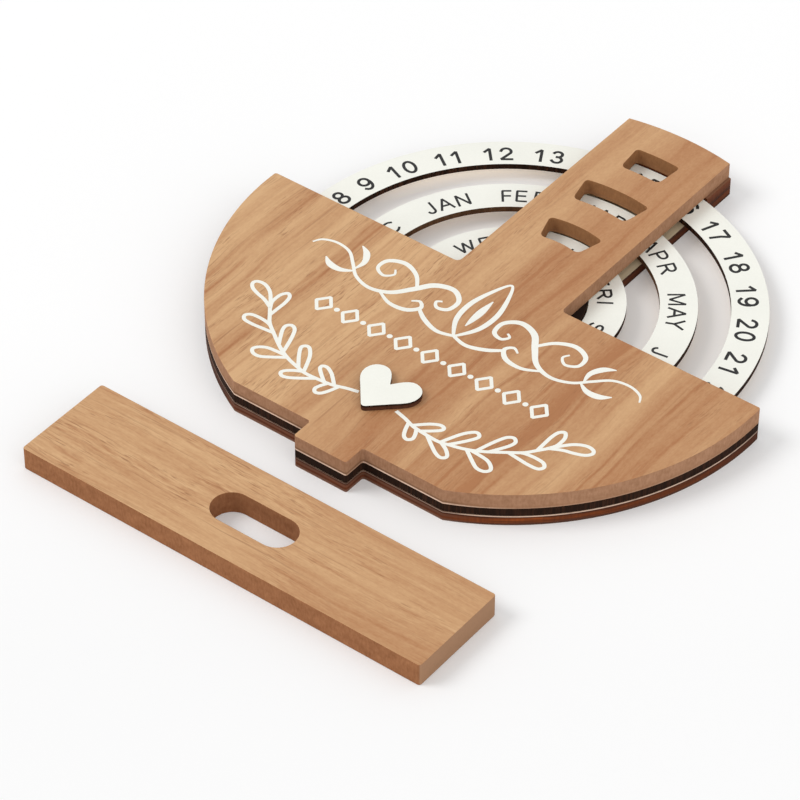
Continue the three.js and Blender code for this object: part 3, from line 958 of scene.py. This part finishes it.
class CalendarStudio(bpy.types.PropertyGroup):
    """Camera, lamps and floor"""

    lens: bpy.props.FloatProperty(
        name="Lens", description="Focal length on a 36 mm sensor", default=171.287, min=1
    )
    camera_place: bpy.props.FloatVectorProperty(
        name="Camera place", description="Where the camera stands", size=3, unit="LENGTH",
        default=(0.561042, -0.797705, 0.824445),
    )
    camera_aim: bpy.props.FloatVectorProperty(
        name="Camera aim", description="Point in the middle of the picture", size=3, unit="LENGTH",
        default=(-0.002965, -0.057531, 0),
    )
    camera_roll: degrees("Camera roll", "Tilt of the picture", 0.25)
    sky_light: ratio("Sky light", "Even light from all round", 0.66)
    key_light: ratio("Key light", "Light of the large lamp on a level face", 0.25)
    key_bearing: degrees("Key bearing", "Bearing of the large lamp from the x axis", 217)
    key_height: degrees("Key height", "Angle of the large lamp above the horizon", 45)
    key_softness: degrees("Key softness", "Angle that the large lamp fills", 28)
    fill_light: ratio("Fill light", "Light of the low lamp on a level face", 0.09)
    fill_bearing: degrees("Fill bearing", "Bearing of the low lamp from the x axis", -20)
    fill_height: degrees("Fill height", "Angle of the low lamp above the horizon", 25)
    fill_softness: degrees("Fill softness", "Angle that the low lamp fills", 70)
    floor_side: length("Floor side", "Side of the square floor", 9000)
    floor_gap: length("Floor gap", "How far the floor lies below the boards", 0.1)
    floor_glow: ratio("Floor glow", "How far towards white the camera sees the floor", 0.14)
    floor_lift: ratio("Floor lift", "How much brighter the camera sees the floor at the back", 0.036)
    floor_colour: tint("Floor", "Colour of the table top", 251, 251, 251)
    # Painted bounce light: a warm tint on the table under the dials that stands in for light thrown off the
    # wood
    floor_under: tint("Floor under dials", "Colour of the table top under the dials", 249, 245, 241)
    floor_bounce: tint("Floor bounce", "Warm light that the dials' backs throw on it", 147, 136, 121)


# Operators, one for each piece or group of like pieces


def shared(make, colours):
    """The material that a function of its name makes, made the first time that it is asked for."""
    return bpy.data.materials.get(make.__name__) or make(colours)


class CALENDAR_OT_front_panel(bpy.types.Operator):
    """Front board: wood veneer on top, fibre board on its sides"""

    bl_idname = "calendar.front_panel"
    bl_label = "Front Panel"

    def execute(self, context):
        colours = context.scene.calendar_colours
        under = shared(bare_underside, colours)
        dress_board("front_panel", [panel_veneer(colours), panel_side(colours), under])
        return {"FINISHED"}


class CALENDAR_OT_inner_boards(bpy.types.Operator):
    """Back board and the spacers between it and the front"""

    bl_idname = "calendar.inner_boards"
    bl_label = "Back Board and Spacers"

    def execute(self, context):
        colours = context.scene.calendar_colours
        face = plain_board_face("back_board_face", colours.back_face, 0.72)
        dress_board("back_panel", [face, back_board_edge(colours), face])
        char = shared(charred_edge, colours)
        rim = burnt_side("rim_spacer_edge", colours.char, colours.char_warm, 0.1, 0.5)
        dress_board("rim_spacer", [char, rim, char])
        hidden, end = spacer_board(colours), stem_end_board(colours)
        for node in ("outer_guide_spacer", "inner_guide_spacer", "hub_spacer", "stem_end_spacer"):
            materials = frame["nodes"][node].data.materials
            materials.clear()
            materials.append(end if node == "stem_end_spacer" else hidden)
        return {"FINISHED"}


# Sides that lie further in from the month dial's outer edge than this, in millimetres, are its brown bore
BORE_DEPTH = 5


class CALENDAR_OT_dial_rings(bpy.types.Operator):
    """The three turning dials: white on top, burnt on their edges"""

    bl_idname = "calendar.dial_rings"
    bl_label = "Dial Rings"

    def execute(self, context):
        colours = context.scene.calendar_colours
        white, char, under = (shared(make, colours) for make in (white_paint, charred_edge, bare_underside))
        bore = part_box("month_ring")[1].x / MM - BORE_DEPTH
        brown = burnt_side("month_ring_edge", colours.char, colours.ring_brown, 0.6, 1, bore)
        for node in ("date_ring", "month_ring", "weekday_ring"):
            dress_board(node, [white, brown if node == "month_ring" else char, under])
        return {"FINISHED"}


class CALENDAR_OT_dial_lettering(bpy.types.Operator):
    """Dates, months and weekdays printed round the dials"""

    bl_idname = "calendar.dial_lettering"
    bl_label = "Dial Lettering"

    def execute(self, context):
        lettering, colours = context.scene.calendar_lettering, context.scene.calendar_colours
        ink = dial_ink(colours)
        low, high = DIAL_TOP - SUNK, DIAL_TOP + lettering.thickness

        def dial(name, node, body, words, anchor, angle, kind, stretch=1.0, room=0.0, seam=0.0):
            """Letters one dial: words[anchor] stands at the angle, and kind opens its settings' names."""
            inset, height, stroke, gap = (
                getattr(lettering, f"{kind}_{size}") for size in ("inset", "height", "stroke", "gap")
            )
            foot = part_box(node)[1].x - inset - height
            gaps = [letter_gaps(word, gap, room, lettering.ones_closing) for word in words]
            boxes = [letter_boxes(word, height, stroke, stretch) for word in words]
            widths = [sum(box) + sum(spaces) for box, spaces in zip(boxes, gaps)]
            middles = even_angles(widths, foot + height / 2, anchor, angle, seam)
            strokes = []
            for word, spaces, middle in zip(words, gaps, middles):
                strokes += letter_strokes(word, height, stroke, spaces, stretch, foot, middle)
            finish_piece(raised_mesh(name, strokes, low, high), body, "spacer_board", [ink])

        dial("date_numbers", "date_ring", "date_dial", DATE_NUMBERS, 7, lettering.eighth_at, "number")
        dial("month_names", "month_ring", "month_dial", MONTHS, 0, lettering.january_at, "month",
             lettering.month_stretch, lettering.month_room, lettering.month_seam)
        dial("weekday_names", "weekday_ring", "weekday_dial", WEEKDAYS, 3, lettering.wednesday_at, "weekday",
             lettering.weekday_stretch)
        return {"FINISHED"}


class CALENDAR_OT_heart(bpy.types.Operator):
    """The raised white heart with its burnt edge"""

    bl_idname = "calendar.heart"
    bl_label = "Heart"

    def execute(self, context):
        colours = context.scene.calendar_colours
        side = heart_edge(colours)
        dress_board("heart", [shared(white_paint, colours), side, side])
        return {"FINISHED"}


class CALENDAR_OT_ornament(bpy.types.Operator):
    """Painted ornament on the front: two sprigs, a flourish and a row of lozenges"""

    bl_idname = "calendar.ornament"
    bl_label = "Painted Ornament"

    def execute(self, context):
        ornament, white = context.scene.calendar_ornament, shared(white_paint, context.scene.calendar_colours)
        low, high = FACE_UP - SUNK, FACE_UP + ornament.thickness
        stroke, middle = ornament.sprig_stroke / MM, ornament.middle / MM

        def painted(name, strokes):
            finish_piece(raised_mesh(name, strokes, low, high), "board", "white_board", [white])

        def smooth(lines, side=1, level=0):
            """Smooth strokes to one side of the middle line; points without a width get the sprig's."""
            for line in lines:
                wide = [(*point, stroke)[:3] for point in line]
                yield *smooth_path([(middle + side * x, y + level, width) for x, y, width in wide]), False

        for name, side in (("sprig_left", -1), ("sprig_right", 1)):
            painted(name, smooth([SPRIG_STEM] + SPRIG_LEAVES, side))
        halves = [*smooth(FLOURISH_HALF, 1, FLOURISH_LEVEL), *smooth(FLOURISH_HALF, -1, FLOURISH_LEVEL)]
        painted("flourish", [*halves, *smooth([FLOURISH_LOOP, FLOURISH_DROP], 1, FLOURISH_LEVEL)])

        strokes = []
        pitch = ornament.row_length / (ornament.lozenges - 1)
        wide, tall = ornament.lozenge_width / 2, ornament.lozenge_height / 2
        dot = ornament.dot_size / 4
        for k in range(ornament.lozenges):
            x, y = ornament.middle + k * pitch - ornament.row_length / 2, -ornament.row_drop
            corners = [(x + wide, y), (x, y + tall), (x - wide, y), (x, y - tall)]
            strokes.append((corners, [ornament.lozenge_stroke] * 4, True))
            if k:
                ring = [(px + x - pitch / 2, py + y) for px, py in oval(0, 0, dot, dot)]
                strokes.append((ring, [dot * DOT_FILL] * len(ring), True))
        painted("lozenge_row", strokes)
        return {"FINISHED"}


class CALENDAR_OT_stand_base(bpy.types.Operator):
    """The stand's base with its round ended slot"""

    bl_idname = "calendar.stand_base"
    bl_label = "Stand Base"

    def execute(self, context):
        colours = context.scene.calendar_colours
        side = base_side(colours)
        dress_board("stand_base", [base_veneer(colours), side, side])
        return {"FINISHED"}


def sky(light):
    """A world of even light, seen as plain white by the camera and in shiny surfaces."""
    world = bpy.data.worlds.new("studio")
    nodes = Nodes(world)
    lit = nodes.node("ShaderNodeBackground", (1, 1, 1, 1), light)
    white = nodes.node("ShaderNodeBackground", (1, 1, 1, 1), 1)
    rays = nodes.node("ShaderNodeLightPath").outputs
    seen = nodes.node("ShaderNodeMath", rays["Is Camera Ray"], rays["Is Glossy Ray"], operation="MAXIMUM")
    blend = nodes.node("ShaderNodeMixShader", seen.outputs[0], lit.outputs[0], white.outputs[0])
    nodes.node("ShaderNodeOutputWorld", blend.outputs[0])
    return world


# Width of the camera's sensor in millimetres, and how near and far it sees in metres
SENSOR = 36
NEAREST, FARTHEST = 0.01, 50


class CALENDAR_OT_stage(bpy.types.Operator):
    """Pale floor, soft light and the camera"""

    bl_idname = "calendar.stage"
    bl_label = "Stage"

    def execute(self, context):
        scene, studio = context.scene, context.scene.calendar_studio
        mesh = bmesh.new()
        bmesh.ops.create_grid(mesh, x_segments=4, y_segments=4, size=studio.floor_side / 2)
        floor = object_from(mesh, "floor")
        floor.location.z = -studio.floor_gap
        floor.data.materials.append(floor_paint(studio))
        floor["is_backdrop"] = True
        scene.world = sky(studio.sky_light)

        for name in ("key", "fill"):
            bearing, height = getattr(studio, name + "_bearing"), getattr(studio, name + "_height")
            towards = Vector((math.cos(bearing), math.sin(bearing), math.tan(height))).normalized()
            lamp = bpy.data.lights.new(name + "_light", "SUN")
            lamp.energy = getattr(studio, name + "_light") * math.pi / towards.z
            lamp.angle = getattr(studio, name + "_softness")
            lamp_object = bpy.data.objects.new(name + "_light", lamp)
            lamp_object.rotation_euler = towards.to_track_quat("Z", "Y").to_euler()
            lamp_object.location = towards
            scene.collection.objects.link(lamp_object)

        camera = bpy.data.cameras.new("camera")
        camera.sensor_width = SENSOR
        camera.lens = studio.lens
        camera.clip_start, camera.clip_end = NEAREST, FARTHEST
        camera_object = bpy.data.objects.new("camera", camera)
        place, aim = Vector(studio.camera_place), Vector(studio.camera_aim)
        turned = (aim - place).to_track_quat("-Z", "Y").to_matrix().to_4x4()
        roll = Matrix.Rotation(studio.camera_roll, 4, "Z")
        camera_object.matrix_world = Matrix.Translation(place) @ turned @ roll
        scene.collection.objects.link(camera_object)
        scene.camera = camera_object
        scene.view_settings.view_transform = "Standard"
        return {"FINISHED"}


OPERATORS = (
    CALENDAR_OT_front_panel,
    CALENDAR_OT_inner_boards,
    CALENDAR_OT_dial_rings,
    CALENDAR_OT_dial_lettering,
    CALENDAR_OT_heart,
    CALENDAR_OT_ornament,
    CALENDAR_OT_stand_base,
    CALENDAR_OT_stage,
)


class CALENDAR_PT_pieces(bpy.types.Panel):
    """Lists the calendar's pieces"""

    bl_idname = "CALENDAR_PT_pieces"
    bl_label = "Desk Calendar"
    bl_space_type = "VIEW_3D"
    bl_region_type = "UI"
    bl_category = "Calendar"

    def draw(self, context):
        column = self.layout.column(align=True)
        for operator in OPERATORS:
            column.operator(operator.bl_idname)
        for place, kind in GROUPS.items():
            box = self.layout.box()
            for name in kind.__annotations__:
                box.prop(getattr(context.scene, place), name)


GROUPS = {
    "calendar_lettering": CalendarLettering,
    "calendar_ornament": CalendarOrnament,
    "calendar_colours": CalendarColours,
    "calendar_studio": CalendarStudio,
}


def register():
    for kind in (*GROUPS.values(), *OPERATORS, CALENDAR_PT_pieces):
        bpy.utils.register_class(kind)
    for name, group in GROUPS.items():
        setattr(bpy.types.Scene, name, bpy.props.PointerProperty(type=group))


def unregister():
    for name in GROUPS:
        delattr(bpy.types.Scene, name)
    for kind in reversed((*GROUPS.values(), *OPERATORS, CALENDAR_PT_pieces)):
        bpy.utils.unregister_class(kind)


def main():
    register()
    bpy.ops.calendar.stage()
    bpy.ops.calendar.front_panel()
    bpy.ops.calendar.inner_boards()
    bpy.ops.calendar.dial_rings()
    bpy.ops.calendar.dial_lettering()
    bpy.ops.calendar.heart()
    bpy.ops.calendar.ornament()
    bpy.ops.calendar.stand_base()
    bpy.context.view_layer.update()
    boxes = {"cad": cad_box, "visual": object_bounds()}
    plain = {name: [list(corner) for corner in box] for name, box in boxes.items()}


if __name__ == "__main__":
    main()
